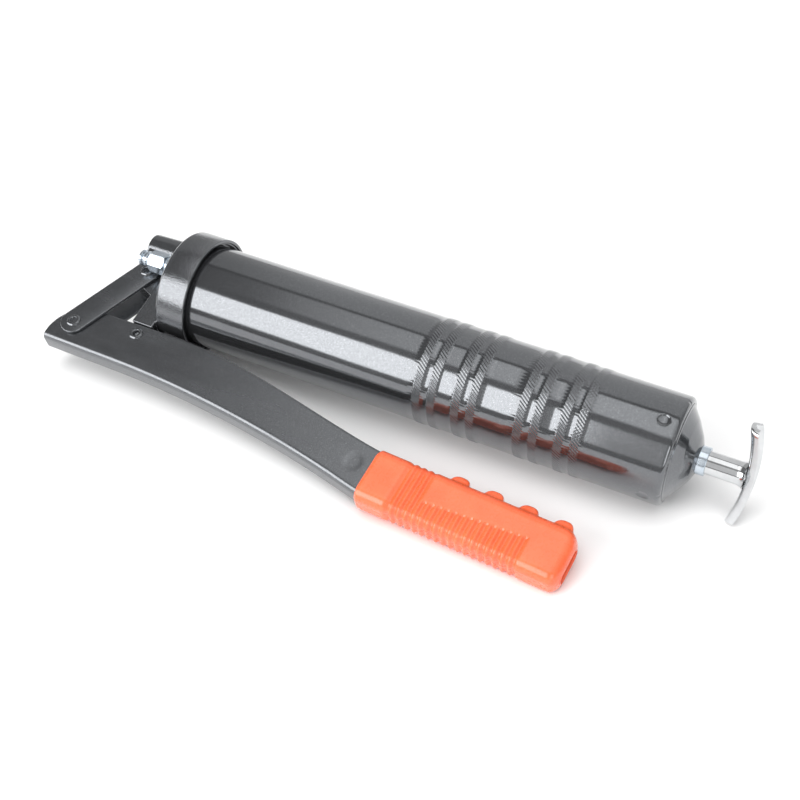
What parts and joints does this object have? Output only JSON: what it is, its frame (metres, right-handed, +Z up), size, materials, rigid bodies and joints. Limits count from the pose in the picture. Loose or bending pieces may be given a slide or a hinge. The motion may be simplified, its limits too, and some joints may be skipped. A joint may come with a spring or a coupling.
{
  "type": "lever grease gun",
  "caption": "Lever-operated hand grease gun: threaded barrel with knurled bands, cast pump head, folded lever with a moulded grip, links, spring follower and a T-handled pull rod.",
  "frame": {"origin": "centre of the outlet port's mouth, on its axis", "axes": "+X runs along the barrel from the pump head to the T-handle, +Z is up as the gun lies on a bench, and the lever is on the -Y side, rolled down so that its grip rests on the bench"},
  "size_m": [0.3844, 0.1237, 0.0656],
  "materials": {
    "gun_paint": "glossy charcoal paint with fine metallic flake",
    "orange_grip": "smooth dipped soft plastic",
    "chrome": "bright chrome plate",
    "zinc_plate": "bluish bright zinc plate",
    "ground_steel": "ground",
    "spring_steel": "drawn wire, oiled",
    "black_rubber": "smooth moulded"
  },
  "bodies": {
    "head": {"pump_head": "gun_paint", "plunger_packing": "black_rubber", "outlet_spring": "spring_steel", "outlet_retainer": "zinc_plate", "filler_washer": "zinc_plate", "filler_fitting": "zinc_plate", "filler_spring": "spring_steel", "head_rivet": "gun_paint"},
    "outlet_check": {"outlet_ball": "chrome"},
    "filler_check": {"filler_ball": "chrome"},
    "links": {"link_upper": "gun_paint", "link_lower": "gun_paint", "link_rivet": "gun_paint"},
    "pump_plunger": {"plunger": "ground_steel"},
    "lever_arm": {"lever": "gun_paint", "plunger_rivet": "gun_paint", "grip": "orange_grip"},
    "gasket": {"barrel_gasket": "black_rubber"},
    "barrel": {"barrel_tube": "gun_paint", "end_cap": "gun_paint", "rod_bushing": "zinc_plate"},
    "follower": {"follower_cup": "black_rubber", "follower_front_plate": "zinc_plate", "follower_back_plate": "zinc_plate", "follower_bush": "zinc_plate", "follower_spring": "spring_steel"},
    "rod": {"pull_rod": "chrome", "rod_nut": "zinc_plate", "t_handle": "chrome", "handle_collar": "chrome"}
  },
  "joints": [
    {"name": "plunger_stroke", "type": "slide", "parent": "head", "child": "pump_plunger", "axis": [0, -0.9681, -0.2504], "range_m": [0, 0.0305]},
    {"name": "lever_swing", "type": "hinge", "parent": "pump_plunger", "child": "lever_arm", "pos_m": [0.0273, -0.05819, -0.01505], "axis": [0, 0.2504, -0.9681], "range_deg": [0, 45]},
    {"name": "link_swing", "type": "hinge", "parent": "head", "child": "links", "pos_m": [0.0107, -0.02033, -0.00526], "axis": [0, -0.2504, 0.9681], "range_deg": [0, 5.5]},
    {"name": "outlet_lift", "type": "slide", "parent": "head", "child": "outlet_check", "axis": [-1, 0, 0], "range_m": [0, 0.002], "stiffness_N_per_m": 150, "springref_m": -0.004, "deforming": ["outlet_spring"]},
    {"name": "filler_lift", "type": "slide", "parent": "head", "child": "filler_check", "axis": [1, 0, 0], "range_m": [0, 0.0015], "stiffness_N_per_m": 120, "springref_m": -0.003, "deforming": ["filler_spring"]},
    {"name": "barrel_turn", "type": "hinge", "parent": "head", "child": "gasket", "pos_m": [0.04, -0.01743, -0.00451], "axis": [1, 0, 0], "range_deg": [0, 1440]},
    {"name": "barrel_screw", "type": "slide", "parent": "gasket", "child": "barrel", "axis": [1, 0, 0], "range_m": [0, 0.006]},
    {"name": "follower_slide", "type": "slide", "parent": "barrel", "child": "follower", "axis": [1, 0, 0], "range_m": [0, 0.2], "stiffness_N_per_m": 150, "springref_m": -0.1, "deforming": ["follower_spring"]},
    {"name": "rod_spin", "type": "hinge", "parent": "follower", "child": "rod", "pos_m": [0.052, -0.01743, -0.00451], "axis": [1, 0, 0], "continuous": true}
  ],
  "couplings": [
    {"joint": "plunger_stroke", "follows": "lever_swing", "m_per_rad": 0.03867},
    {"joint": "link_swing", "follows": "lever_swing", "ratio": 0.12},
    {"joint": "barrel_screw", "follows": "barrel_turn", "m_per_rad": 0.00023873}
  ]
}
